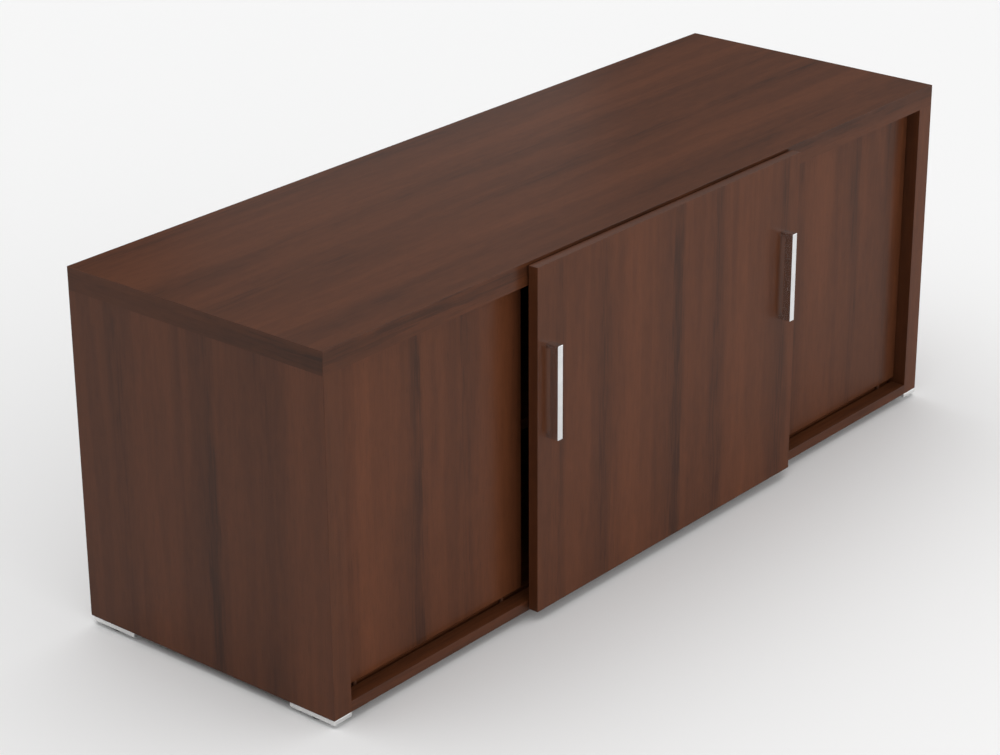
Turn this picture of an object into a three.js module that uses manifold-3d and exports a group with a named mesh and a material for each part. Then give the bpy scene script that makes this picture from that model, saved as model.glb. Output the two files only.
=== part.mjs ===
// Office credenza: a low wooden carcass with one sliding door in front of it and two
// recessed sliding doors behind, all hung from a double track under the top panel.
// Millimetres, +Z up, the front faces -Y, the origin is on the floor under the middle.
import * as THREE from "three";
import { mergeVertices } from "three/addons/utils/BufferGeometryUtils.js";
import Module from "manifold-3d";

const wasm = await Module();
wasm.setup();

// Driving dimensions: boards and carcass
const WIDTH = 1600;
const CARCASS_DEPTH = 528;
const CARCASS_HEIGHT = 594;
const THICK_BOARD = 38;
const BOARD = 18;
const BACK_BOARD = 8;
const BACK_INSET = 10;
const BAY_HALF_WIDTH = 337;
const INNER_FRONT = 60;
const SHELF_SIDE_GAP = 0.5;

// Driving dimensions: feet
const PLATE_LENGTH = 92;
const PLATE_THICKNESS = 7.5;
const PLATE_REAR_INSET = 6;
const GLIDE_HEIGHT = 6.5;
const GLIDE_RADIUS = 14;
const GLIDE_CHAMFER = 1.5;
const GLIDE_SEAT = 1.5;

// Driving dimensions: doors and handles
const DOOR_GAP = 3;
const CENTRE_DOOR_WIDTH = 700;
const CENTRE_DOOR_MARGIN = 4.25;
const INNER_DOOR_WIDTH = 424;
const INNER_DOOR_SIDE_GAP = 2;
const INNER_DOOR_RECESS = 24;
const INNER_DOOR_TOP_GAP = 4;
const INNER_DOOR_FLOOR_GAP = 11;
const HANDLE_WIDTH = 12;
const HANDLE_LENGTH = 158;
const HANDLE_PROJECTION = 24;
const HANDLE_BAR = 16;
const HANDLE_LEG = 8;
const HANDLE_BOTTOM = 303;
const LEFT_HANDLE_X = -324;
const RIGHT_HANDLE_X = 307;

// Driving dimensions: track, hangers, guides and small hardware
const TRACK_DEPTH = 23;
const TRACK_WIDTH = 36;
const TRACK_HEIGHT = 15;
const TRACK_END_GAP = 1.5;
const TRACK_GROOVE_END = 1;
const CHANNEL_OFFSET = 10;
const CHANNEL_HALF_WIDTH = 6.75;
const SLOT_HALF_WIDTH = 2.5;
const LIP = 1.5;
const TRACK_ROOF = 1.25;
const STOP_HALF_LENGTH = 8;
const WHEEL_RADIUS = 5.5;
const WHEEL_INNER = 3;
const WHEEL_OUTER = 6.25;
const WHEEL_EDGE = 0.5;
const AXLE_RADIUS = 1.5;
const AXLE_BORE_RADIUS = 1.9;
const HANGER_HALF_LENGTH = 16;
const HANGER_INSET = 20;
const HANGER_STEM = 4;
const HANGER_STEM_TOP = 11;
const HANGER_SHEET = 2;
const HANGER_DROP = 42;
const INNER_HANGER_FOOT = 7;
const CENTRE_HANGER_X = 290;
const GROOVE_WIDTH = 7;
const GROOVE_DEPTH = 7;
const PEG_RADIUS = 3;
const PEG_FLANGE_RADIUS = 5;
const PEG_FLANGE = 2;
const PEG_ENTRY = 5;
const PEG_INSET = 40;
const GUIDE_HALF_LENGTH = 15;
const GUIDE_RISE = 34;
const GUIDE_DROP = 4.5;
const GUIDE_TIP = 1;
const PIN_RADIUS = 2.5;
const PIN_HOLE_RADIUS = 2.75;
const PIN_HOLE_DEPTH = 8;
const PIN_REACH = 9;
const PIN_TIP = 0.5;
const PIN_INSET = 50;
const SCREW_RADIUS = 2;
const SCREW_HOLE_RADIUS = 2.5;
const SCREW_HEAD_RADIUS = 3.75;
const SCREW_HEAD = 2.25;
const SCREW_GRIP = 9;
const SCREW_SOCKET_SPARE = 1;
const FIT = 0.25;

// How far a cutting tool runs past the face that it enters, and the sides of round pieces
const OVERCUT = 1;
const SMALL_SIDES = 12;
const WHEEL_SIDES = 16;
const GLIDE_SIDES = 24;

// Levels and planes in the carcass frame: depth is 0 at the front edges, height is 0 at the underside
const HALF_WIDTH = WIDTH / 2;
const INNER_HALF_WIDTH = HALF_WIDTH - THICK_BOARD;
const TOP_UNDERSIDE = CARCASS_HEIGHT - THICK_BOARD;
const BACK_PLANE = CARCASS_DEPTH - BACK_INSET - BACK_BOARD;
const FOOT_HEIGHT = PLATE_THICKNESS + GLIDE_HEIGHT;
const SHELF_BASE = (BOARD + TOP_UNDERSIDE) / 2 - BOARD / 2;
const DOOR_BACK = -DOOR_GAP;
const DOOR_FRONT = DOOR_BACK - BOARD;
const HANDLE_FRONT = DOOR_FRONT - HANDLE_PROJECTION;
const FRONT_CHANNEL = TRACK_DEPTH - CHANNEL_OFFSET;
const REAR_CHANNEL = TRACK_DEPTH + CHANNEL_OFFSET;
const AXLE_LEVEL = TOP_UNDERSIDE + LIP + FIT + WHEEL_RADIUS;
const OVERALL_DEPTH = CARCASS_DEPTH - HANDLE_FRONT;
const LEFT = -1;
const RIGHT = 1;
const SIDE_NAMES = new Map([[LEFT, "left"], [RIGHT, "right"]]);

// Finishes
const finish = (color, roughness, metalness) =>
  new THREE.MeshStandardMaterial({ color, roughness, metalness });
const walnut = finish("#583c2f", 0.5, 0);
const polishedMetal = finish("#cfcfcf", 0.2, 1);
const satinAluminium = finish("#b4b4b4", 0.35, 1);
const zincSteel = finish("#9a9c9e", 0.4, 1);
const whiteNylon = finish("#d9d6cc", 0.55, 0);
const blackPlastic = finish("#1c1c1c", 0.6, 0);
const brownPlastic = finish("#4c2c1b", 0.75, 0);

// A block between two limits on each axis
function block([x0, x1], [y0, y1], [z0, z1]) {
  const geometry = new THREE.BoxGeometry(x1 - x0, y1 - y0, z1 - z0);
  return geometry.translate((x0 + x1) / 2, (y0 + y1) / 2, (z0 + z1) / 2);
}

// A depth-and-height outline drawn out along X
function prism(outline, x0, x1) {
  const shape = new THREE.Shape(outline.map(([depth, height]) => new THREE.Vector2(depth, height)));
  const geometry = new THREE.ExtrudeGeometry(shape, { depth: x1 - x0, bevelEnabled: false });
  const alongX = new THREE.Matrix4().makeBasis(
    new THREE.Vector3(0, 1, 0),
    new THREE.Vector3(0, 0, 1),
    new THREE.Vector3(1, 0, 0),
  );
  return geometry.applyMatrix4(alongX).translate(x0, 0, 0);
}

// A turned piece: the profile is [radius, distance along the axis], from end to end on the axis
function turned(profile, axis, sides) {
  const points = profile.map(([radius, along]) => new THREE.Vector2(radius, along));
  const geometry = new THREE.LatheGeometry(points, sides);
  const direction = new THREE.Vector3(0, 0, 0);
  direction[axis] = 1;
  const turn = new THREE.Quaternion().setFromUnitVectors(new THREE.Vector3(0, 1, 0), direction);
  return geometry.applyQuaternion(turn);
}

// A plain round bar between two distances along an axis
function rod(radius, from, to, axis, sides) {
  return turned([[0, from], [radius, from], [radius, to], [0, to]], axis, sides);
}

// Solids for cutting and joining
function solid(geometry) {
  const bare = geometry.clone();
  bare.deleteAttribute("normal");
  bare.deleteAttribute("uv");
  const merged = mergeVertices(bare);
  return new wasm.Manifold(
    new wasm.Mesh({
      numProp: 3,
      vertProperties: new Float32Array(merged.attributes.position.array),
      triVerts: new Uint32Array(merged.index.array),
    }),
  );
}

function surface(manifold) {
  const mesh = manifold.getMesh();
  const geometry = new THREE.BufferGeometry();
  geometry.setAttribute("position", new THREE.BufferAttribute(mesh.vertProperties, mesh.numProp));
  geometry.setIndex(new THREE.BufferAttribute(mesh.triVerts, 1));
  geometry.computeVertexNormals();
  return geometry;
}

const cut = (geometry, tools) =>
  surface(tools.reduce((body, tool) => body.subtract(solid(tool)), solid(geometry)));
const join = (geometry, other) => surface(solid(geometry).add(solid(other)));

// Adds a named sub-part to a group, with its own origin at the middle of its box
function addPart(group, name, geometry, material) {
  geometry.computeBoundingBox();
  const middle = geometry.boundingBox.getCenter(new THREE.Vector3());
  const mesh = new THREE.Mesh(geometry.translate(-middle.x, -middle.y, -middle.z), material);
  mesh.name = name;
  mesh.position.copy(middle);
  group.add(mesh);
}

// Limits of a stretch that lies outwards from the middle, on the left or on the right
const outward = (side, near, far) => (side === LEFT ? [-far, -near] : [near, far]);
const around = (middle, half) => [middle - half, middle + half];

// Shelf pins sit in blind holes just below the shelf, two in each wall of a bay
const PIN_LEVEL = SHELF_BASE - PIN_RADIUS - FIT;
const PIN_DEPTHS = [INNER_FRONT + PIN_INSET, BACK_PLANE - PIN_INSET];

// A hole into a wall face at x, going the given way along X
function pinHoles(faceX, inward) {
  const ends = [faceX, faceX + inward * PIN_HOLE_DEPTH].sort((a, b) => a - b);
  return PIN_DEPTHS.map((depth) =>
    rod(PIN_HOLE_RADIUS, ends[0], ends[1], "x", SMALL_SIDES).translate(0, depth, PIN_LEVEL),
  );
}

function addCarcassBoards(group) {
  const groove = block(
    around(0, INNER_HALF_WIDTH - TRACK_GROOVE_END),
    around(TRACK_DEPTH, TRACK_WIDTH / 2 + FIT),
    [TOP_UNDERSIDE - OVERCUT, TOP_UNDERSIDE + TRACK_HEIGHT + FIT],
  );
  const top = block([-HALF_WIDTH, HALF_WIDTH], [0, CARCASS_DEPTH], [TOP_UNDERSIDE, CARCASS_HEIGHT]);
  addPart(group, "top_panel", cut(top, [groove]), walnut);

  const floorGrooves = [
    block(
      [-HALF_WIDTH, HALF_WIDTH],
      around(REAR_CHANNEL, GROOVE_WIDTH / 2),
      [BOARD - GROOVE_DEPTH, BOARD + OVERCUT],
    ),
    block(
      [-HALF_WIDTH, HALF_WIDTH],
      around(FRONT_CHANNEL, GROOVE_WIDTH / 2),
      [-OVERCUT, GROOVE_DEPTH],
    ),
  ];
  const inner = [-INNER_HALF_WIDTH, INNER_HALF_WIDTH];
  addPart(
    group,
    "bottom_panel",
    cut(block(inner, [0, CARCASS_DEPTH], [0, BOARD]), floorGrooves),
    walnut,
  );
  const backDepths = [BACK_PLANE, BACK_PLANE + BACK_BOARD];
  addPart(group, "back_panel", block(inner, backDepths, [BOARD, TOP_UNDERSIDE]), walnut);

  for (const [side, word] of SIDE_NAMES) {
    const wall = block(
      outward(side, INNER_HALF_WIDTH, HALF_WIDTH),
      [0, CARCASS_DEPTH],
      [0, TOP_UNDERSIDE],
    );
    const wallHoles = pinHoles(side * INNER_HALF_WIDTH, side);
    addPart(group, `${word}_side_panel`, cut(wall, wallHoles), walnut);

    const partition = block(
      outward(side, BAY_HALF_WIDTH, BAY_HALF_WIDTH + BOARD),
      [INNER_FRONT, BACK_PLANE],
      [BOARD, TOP_UNDERSIDE],
    );
    const partitionHoles = [
      ...pinHoles(side * BAY_HALF_WIDTH, side),
      ...pinHoles(side * (BAY_HALF_WIDTH + BOARD), -side),
    ];
    addPart(group, `${word}_partition`, cut(partition, partitionHoles), walnut);
  }
}

// A pin leaves the wall face at x and reaches the given way under its shelf
function addShelfPin(group, name, faceX, reach, depth) {
  const pin = turned(
    [
      [0, FIT - PIN_HOLE_DEPTH],
      [PIN_RADIUS, FIT - PIN_HOLE_DEPTH],
      [PIN_RADIUS, PIN_REACH - PIN_TIP],
      [PIN_RADIUS - PIN_TIP, PIN_REACH],
      [0, PIN_REACH],
    ],
    "x",
    SMALL_SIDES,
  );
  if (reach === LEFT) pin.rotateZ(Math.PI);
  addPart(group, name, pin.translate(faceX, depth, PIN_LEVEL), zincSteel);
}

function addShelves(group) {
  const bays = [
    ["left", -INNER_HALF_WIDTH, -BAY_HALF_WIDTH - BOARD],
    ["centre", -BAY_HALF_WIDTH, BAY_HALF_WIDTH],
    ["right", BAY_HALF_WIDTH + BOARD, INNER_HALF_WIDTH],
  ];
  for (const [bay, from, to] of bays) {
    const shelf = block(
      [from + SHELF_SIDE_GAP, to - SHELF_SIDE_GAP],
      [INNER_FRONT, BACK_PLANE - SHELF_SIDE_GAP],
      [SHELF_BASE, SHELF_BASE + BOARD],
    );
    addPart(group, `${bay}_shelf`, shelf, walnut);
    const rows = [["front", PIN_DEPTHS[0]], ["rear", PIN_DEPTHS[1]]];
    for (const [row, depth] of rows) {
      addShelfPin(group, `${bay}_shelf_pin_${row}_left`, from, RIGHT, depth);
      addShelfPin(group, `${bay}_shelf_pin_${row}_right`, to, LEFT, depth);
    }
  }
}

// A foot is a metal plate under the side panel, with a round glide let into it
function addFoot(group, name, side, fromDepth) {
  const middle = side * (HALF_WIDTH - THICK_BOARD / 2);
  const depth = fromDepth + PLATE_LENGTH / 2;
  const seat = rod(
    GLIDE_RADIUS + FIT,
    -PLATE_THICKNESS - OVERCUT,
    -PLATE_THICKNESS + GLIDE_SEAT,
    "z",
    GLIDE_SIDES,
  );
  const plate = block(
    around(middle, THICK_BOARD / 2),
    [fromDepth, fromDepth + PLATE_LENGTH],
    [-PLATE_THICKNESS, 0],
  );
  addPart(
    group,
    `${name}_foot_plate`,
    cut(plate, [seat.translate(middle, depth, 0)]),
    satinAluminium,
  );
  const glide = turned(
    [
      [0, -FOOT_HEIGHT],
      [GLIDE_RADIUS - GLIDE_CHAMFER, -FOOT_HEIGHT],
      [GLIDE_RADIUS, -FOOT_HEIGHT + GLIDE_CHAMFER],
      [GLIDE_RADIUS, -PLATE_THICKNESS + GLIDE_SEAT - FIT],
      [0, -PLATE_THICKNESS + GLIDE_SEAT - FIT],
    ],
    "z",
    GLIDE_SIDES,
  );
  addPart(group, `${name}_glide`, glide.translate(middle, depth, 0), blackPlastic);
}

function addFeet(group) {
  for (const [side, word] of SIDE_NAMES) {
    addFoot(group, `front_${word}`, side, 0);
    addFoot(group, `rear_${word}`, side, CARCASS_DEPTH - PLATE_REAR_INSET - PLATE_LENGTH);
  }
}

// Half of the double track's outline, from the outer lip of one channel inwards
function channelOutline(sign) {
  const across = (offset) => TRACK_DEPTH + sign * offset;
  const roof = TOP_UNDERSIDE + TRACK_HEIGHT - TRACK_ROOF;
  const lipTop = TOP_UNDERSIDE + LIP;
  return [
    [across(TRACK_WIDTH / 2), TOP_UNDERSIDE],
    [across(CHANNEL_OFFSET + SLOT_HALF_WIDTH), TOP_UNDERSIDE],
    [across(CHANNEL_OFFSET + SLOT_HALF_WIDTH), lipTop],
    [across(CHANNEL_OFFSET + CHANNEL_HALF_WIDTH), lipTop],
    [across(CHANNEL_OFFSET + CHANNEL_HALF_WIDTH), roof],
    [across(CHANNEL_OFFSET - CHANNEL_HALF_WIDTH), roof],
    [across(CHANNEL_OFFSET - CHANNEL_HALF_WIDTH), lipTop],
    [across(CHANNEL_OFFSET - SLOT_HALF_WIDTH), lipTop],
    [across(CHANNEL_OFFSET - SLOT_HALF_WIDTH), TOP_UNDERSIDE],
  ];
}

function addTrack(group) {
  const trackTop = TOP_UNDERSIDE + TRACK_HEIGHT;
  const outline = [
    ...channelOutline(-1),
    ...channelOutline(1).reverse(),
    [TRACK_DEPTH + TRACK_WIDTH / 2, trackTop],
    [TRACK_DEPTH - TRACK_WIDTH / 2, trackTop],
  ];
  const end = INNER_HALF_WIDTH - TRACK_END_GAP;
  addPart(group, "top_track", prism(outline, -end, end), satinAluminium);

  const stop = block(
    [-STOP_HALF_LENGTH, STOP_HALF_LENGTH],
    around(REAR_CHANNEL, CHANNEL_HALF_WIDTH - FIT),
    [TOP_UNDERSIDE + LIP + FIT, trackTop - TRACK_ROOF - FIT],
  );
  addPart(group, "track_centre_stop", stop, brownPlastic);
}

// A hanger's stem passes up through the track's slot and carries the axle of its wheelset
function addHanger(group, name, x, channel, outline) {
  const bore = rod(AXLE_BORE_RADIUS, channel - HANGER_STEM, channel + HANGER_STEM, "y", WHEEL_SIDES);
  const body = prism(outline, x - HANGER_HALF_LENGTH, x + HANGER_HALF_LENGTH);
  addPart(group, `${name}_hanger`, cut(body, [bore.translate(x, 0, AXLE_LEVEL)]), zincSteel);

  const rim = WHEEL_RADIUS - WHEEL_EDGE;
  const wheel = [
    [AXLE_RADIUS, WHEEL_INNER],
    [rim, WHEEL_INNER],
    [WHEEL_RADIUS, WHEEL_INNER + WHEEL_EDGE],
    [WHEEL_RADIUS, WHEEL_OUTER - WHEEL_EDGE],
    [rim, WHEEL_OUTER],
    [0, WHEEL_OUTER],
  ];
  const mirrored = wheel.map(([radius, along]) => [radius, -along]).reverse();
  const wheelset = turned([...mirrored, ...wheel], "y", WHEEL_SIDES);
  addPart(group, `${name}_wheelset`, wheelset.translate(x, channel, AXLE_LEVEL), whiteNylon);
}

// The hanger of the centre door: a plate on the door's back, an arm under the top and the stem
const CENTRE_HANGER_OUTLINE = [
  [DOOR_BACK, TOP_UNDERSIDE - HANGER_DROP],
  [DOOR_BACK + HANGER_SHEET, TOP_UNDERSIDE - HANGER_DROP],
  [DOOR_BACK + HANGER_SHEET, TOP_UNDERSIDE - DOOR_GAP - HANGER_SHEET],
  [FRONT_CHANNEL + HANGER_STEM / 2, TOP_UNDERSIDE - DOOR_GAP - HANGER_SHEET],
  [FRONT_CHANNEL + HANGER_STEM / 2, TOP_UNDERSIDE + HANGER_STEM_TOP],
  [FRONT_CHANNEL - HANGER_STEM / 2, TOP_UNDERSIDE + HANGER_STEM_TOP],
  [FRONT_CHANNEL - HANGER_STEM / 2, TOP_UNDERSIDE - DOOR_GAP],
  [DOOR_BACK, TOP_UNDERSIDE - DOOR_GAP],
];

// The hanger of an inner door: a foot on the door's top edge and the stem
const INNER_DOOR_TOP = TOP_UNDERSIDE - INNER_DOOR_TOP_GAP;
const INNER_HANGER_OUTLINE = [
  [REAR_CHANNEL - INNER_HANGER_FOOT, INNER_DOOR_TOP],
  [REAR_CHANNEL + INNER_HANGER_FOOT, INNER_DOOR_TOP],
  [REAR_CHANNEL + INNER_HANGER_FOOT, INNER_DOOR_TOP + HANGER_SHEET],
  [REAR_CHANNEL + HANGER_STEM / 2, INNER_DOOR_TOP + HANGER_SHEET],
  [REAR_CHANNEL + HANGER_STEM / 2, TOP_UNDERSIDE + HANGER_STEM_TOP],
  [REAR_CHANNEL - HANGER_STEM / 2, TOP_UNDERSIDE + HANGER_STEM_TOP],
  [REAR_CHANNEL - HANGER_STEM / 2, INNER_DOOR_TOP + HANGER_SHEET],
  [REAR_CHANNEL - INNER_HANGER_FOOT, INNER_DOOR_TOP + HANGER_SHEET],
];

// A bar handle stands on two short legs, each held by a screw through the door
const HANDLE_TOP = HANDLE_BOTTOM + HANDLE_LENGTH;
const SCREW_LEVELS = [
  ["lower", HANDLE_BOTTOM + HANDLE_LEG / 2],
  ["upper", HANDLE_TOP - HANDLE_LEG / 2],
];

function addHandle(group, name, x) {
  const outline = [
    [HANDLE_FRONT, HANDLE_BOTTOM],
    [DOOR_FRONT, HANDLE_BOTTOM],
    [DOOR_FRONT, HANDLE_BOTTOM + HANDLE_LEG],
    [HANDLE_FRONT + HANDLE_BAR, HANDLE_BOTTOM + HANDLE_LEG],
    [HANDLE_FRONT + HANDLE_BAR, HANDLE_TOP - HANDLE_LEG],
    [DOOR_FRONT, HANDLE_TOP - HANDLE_LEG],
    [DOOR_FRONT, HANDLE_TOP],
    [HANDLE_FRONT, HANDLE_TOP],
  ];
  const bow = prism(outline, x - HANDLE_WIDTH / 2, x + HANDLE_WIDTH / 2);
  const socketEnd = DOOR_FRONT - SCREW_GRIP - SCREW_SOCKET_SPARE;
  const sockets = SCREW_LEVELS.map(([, level]) =>
    rod(SCREW_RADIUS + FIT, socketEnd, DOOR_FRONT + OVERCUT, "y", SMALL_SIDES).translate(x, 0, level),
  );
  addPart(group, name, cut(bow, sockets), polishedMetal);

  for (const [word, level] of SCREW_LEVELS) {
    const screw = turned(
      [
        [0, DOOR_FRONT - SCREW_GRIP],
        [SCREW_RADIUS, DOOR_FRONT - SCREW_GRIP],
        [SCREW_RADIUS, DOOR_BACK],
        [SCREW_HEAD_RADIUS, DOOR_BACK],
        [SCREW_HEAD_RADIUS, DOOR_BACK + SCREW_HEAD],
        [0, DOOR_BACK + SCREW_HEAD],
      ],
      "y",
      SMALL_SIDES,
    );
    addPart(group, `${name}_screw_${word}`, screw.translate(x, 0, level), zincSteel);
  }
}

// A lower guide reaches from the door's back under the bottom panel, with its peg in the groove
function addLowerGuide(group, name, x) {
  const outline = [
    [DOOR_BACK, -GUIDE_DROP],
    [FRONT_CHANNEL + PEG_RADIUS + GUIDE_TIP, -GUIDE_DROP],
    [FRONT_CHANNEL + PEG_RADIUS + GUIDE_TIP, -GUIDE_DROP + HANGER_SHEET],
    [DOOR_BACK + HANGER_SHEET, -GUIDE_DROP + HANGER_SHEET],
    [DOOR_BACK + HANGER_SHEET, GUIDE_RISE],
    [DOOR_BACK, GUIDE_RISE],
  ];
  const arm = prism(outline, x - GUIDE_HALF_LENGTH, x + GUIDE_HALF_LENGTH);
  const peg = rod(PEG_RADIUS, -GUIDE_DROP + HANGER_SHEET / 2, PEG_ENTRY, "z", WHEEL_SIDES);
  addPart(group, name, join(arm, peg.translate(x, FRONT_CHANNEL, 0)), brownPlastic);
}

function makeCentreDoor() {
  const group = new THREE.Group();
  const half = CENTRE_DOOR_WIDTH / 2;
  const handles = [["left_handle", LEFT_HANDLE_X], ["right_handle", RIGHT_HANDLE_X]];
  const leaf = block(
    [-half, half],
    [DOOR_FRONT, DOOR_BACK],
    [CENTRE_DOOR_MARGIN, CARCASS_HEIGHT - CENTRE_DOOR_MARGIN],
  );
  const screwHoles = handles.flatMap(([, x]) =>
    SCREW_LEVELS.map(([, level]) =>
      rod(
        SCREW_HOLE_RADIUS,
        DOOR_FRONT - OVERCUT,
        DOOR_BACK + OVERCUT,
        "y",
        SMALL_SIDES,
      ).translate(x, 0, level),
    ),
  );
  addPart(group, "centre_door", cut(leaf, screwHoles), walnut);
  for (const [name, x] of handles) addHandle(group, name, x);
  for (const [side, word] of SIDE_NAMES) {
    const x = side * CENTRE_HANGER_X;
    addHanger(group, `centre_door_${word}`, x, FRONT_CHANNEL, CENTRE_HANGER_OUTLINE);
    addLowerGuide(group, `centre_door_${word}_guide`, x);
  }
  return group;
}

function makeInnerDoor(side) {
  const group = new THREE.Group();
  const name = `${SIDE_NAMES.get(side)}_inner_door`;
  const outerEdge = INNER_HALF_WIDTH - INNER_DOOR_SIDE_GAP;
  const innerEdge = outerEdge - INNER_DOOR_WIDTH;
  const base = BOARD + INNER_DOOR_FLOOR_GAP;
  const leaf = block(
    outward(side, innerEdge, outerEdge),
    [INNER_DOOR_RECESS, INNER_DOOR_RECESS + BOARD],
    [base, INNER_DOOR_TOP],
  );
  addPart(group, name, leaf, walnut);
  const ends = [["outer", outerEdge, -1], ["inner", innerEdge, 1]];
  for (const [word, edge, inwards] of ends) {
    const hangerX = side * (edge + inwards * HANGER_INSET);
    addHanger(group, `${name}_${word}`, hangerX, REAR_CHANNEL, INNER_HANGER_OUTLINE);
    const peg = turned(
      [
        [0, BOARD - PEG_ENTRY],
        [PEG_RADIUS, BOARD - PEG_ENTRY],
        [PEG_RADIUS, base - PEG_FLANGE],
        [PEG_FLANGE_RADIUS, base - PEG_FLANGE],
        [PEG_FLANGE_RADIUS, base],
        [0, base],
      ],
      "z",
      WHEEL_SIDES,
    );
    const pegX = side * (edge + inwards * PEG_INSET);
    addPart(group, `${name}_${word}_peg`, peg.translate(pegX, REAR_CHANNEL, 0), brownPlastic);
  }
  return group;
}

function makeCarcass() {
  const group = new THREE.Group();
  addCarcassBoards(group);
  addShelves(group);
  addFeet(group);
  addTrack(group);
  return group;
}

// The carcass frame stands on its feet, with the handles and the back edges equally far from the middle
const carcassFrame = new THREE.Group();
carcassFrame.position.set(0, -OVERALL_DEPTH / 2 - HANDLE_FRONT, FOOT_HEIGHT);
carcassFrame.add(makeCarcass(), makeCentreDoor(), makeInnerDoor(LEFT), makeInnerDoor(RIGHT));

const credenza = new THREE.Group();
credenza.add(carcassFrame);

export default credenza;
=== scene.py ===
"""Looks of an office credenza with three sliding doors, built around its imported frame.

Every piece is made in metres in the frame's own axes: +Z up, the front faces -Y.
"""

from __future__ import annotations

import logging
import math
from dataclasses import dataclass, field
from enum import Enum
from typing import Callable, Iterable, Sequence, Union

import bmesh
import bpy
from mathutils import Matrix, Vector

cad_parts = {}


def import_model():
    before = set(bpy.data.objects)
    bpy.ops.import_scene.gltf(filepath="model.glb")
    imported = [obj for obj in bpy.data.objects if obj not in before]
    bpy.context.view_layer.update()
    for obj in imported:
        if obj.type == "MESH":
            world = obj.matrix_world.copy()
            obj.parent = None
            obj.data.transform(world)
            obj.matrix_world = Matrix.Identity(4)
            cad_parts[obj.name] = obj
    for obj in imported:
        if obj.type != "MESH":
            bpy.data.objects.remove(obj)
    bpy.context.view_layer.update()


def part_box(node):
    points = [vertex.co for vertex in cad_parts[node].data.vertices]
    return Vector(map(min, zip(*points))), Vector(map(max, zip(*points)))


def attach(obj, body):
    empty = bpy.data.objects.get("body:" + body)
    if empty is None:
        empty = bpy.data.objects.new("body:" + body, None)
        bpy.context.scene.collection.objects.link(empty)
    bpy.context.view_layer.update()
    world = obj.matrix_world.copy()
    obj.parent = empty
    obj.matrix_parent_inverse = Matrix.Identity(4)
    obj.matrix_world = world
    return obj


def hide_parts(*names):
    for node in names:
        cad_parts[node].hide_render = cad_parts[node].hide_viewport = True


LOG = logging.getLogger("credenza")
MM = 0.001
SCREW_SIDES = 24
TOUCHING = 1e-6
CORNER_FROM = math.radians(20.0)
CREASE_FROM = math.radians(40.0)
CROSS_ARM = math.radians(15.0)
WHITE = (1.0, 1.0, 1.0, 1.0)


class Axis(Enum):
    """The three directions of the frame."""

    X = 0
    Y = 1
    Z = 2

    def unit(self) -> Vector:
        """The unit vector of this axis."""
        return Vector([float(self.value == i) for i in range(3)])


class Face(Enum):
    """The six outer faces of a board, each as its axis and the side that it lies on."""

    LEFT = (Axis.X, -1)
    RIGHT = (Axis.X, 1)
    FRONT = (Axis.Y, -1)
    BACK = (Axis.Y, 1)
    UNDER = (Axis.Z, -1)
    OVER = (Axis.Z, 1)

    @property
    def axis(self) -> Axis:
        """The axis that this face is square to."""
        return self.value[0]

    @property
    def sign(self) -> int:
        """The side of the board, -1 or 1 along the axis."""
        return self.value[1]

    def direction(self) -> Vector:
        """The way out of this face."""
        return self.axis.unit() * self.sign


class Outline(Enum):
    """The outline of a turned ring: round, or the cross of a driver's recess."""

    ROUND = "round"
    CROSS = "cross"

    def reach(self, angle: float) -> float:
        """How far the outline lies from the middle at an angle, for a radius of one.

        Args:
            angle: the angle round the axis, in radians.

        Returns:
            The distance, as a share of the ring's radius.
        """
        if self is Outline.ROUND:
            return 1.0
        folded = abs((angle + math.pi / 4) % (math.pi / 2) - math.pi / 4)
        if folded <= CROSS_ARM + TOUCHING:
            return 1.0 / math.cos(folded)
        return math.tan(CROSS_ARM) / math.sin(folded)


class Slot(Enum):
    """The record's material slots."""

    WALNUT = "walnut_board"
    HANDLE = "handle_metal"
    FOOT = "foot_metal"
    GLIDE = "glide_plastic"
    TRACK = "track_metal"
    FITTING = "fitting_steel"
    WHEEL = "wheel_nylon"
    GUIDE = "guide_plastic"


Operand = Union["Field", float]
Colour = tuple[float, float, float, float]


def srgb(red: int, green: int, blue: int) -> Colour:
    """A colour as it is seen on a screen, turned into the linear values that shaders take.

    Args:
        red: the red level, 0 to 255.
        green: the green level, 0 to 255.
        blue: the blue level, 0 to 255.

    Returns:
        The linear colour, opaque.
    """

    def linear(level: int) -> float:
        """One channel, by the screen's own curve."""
        share = level / 255.0
        return share / 12.92 if share <= 0.04045 else ((share + 0.055) / 1.055) ** 2.4

    return (linear(red), linear(green), linear(blue), 1.0)


class Field:
    """A shader value, colour or vector, which Python operators turn into Math nodes."""

    def __init__(self, graph: "Graph", socket: bpy.types.NodeSocket) -> None:
        """Wraps one output socket of a graph."""
        self.graph = graph
        self.socket = socket

    def __add__(self, other: Operand) -> "Field":
        """This value plus another."""
        return self.graph.math("ADD", self, other)

    def __radd__(self, other: Operand) -> "Field":
        """Another value plus this one."""
        return self.graph.math("ADD", other, self)

    def __sub__(self, other: Operand) -> "Field":
        """This value less another."""
        return self.graph.math("SUBTRACT", self, other)

    def __rsub__(self, other: Operand) -> "Field":
        """Another value less this one."""
        return self.graph.math("SUBTRACT", other, self)

    def __mul__(self, other: Operand) -> "Field":
        """This value times another."""
        return self.graph.math("MULTIPLY", self, other)


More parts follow.
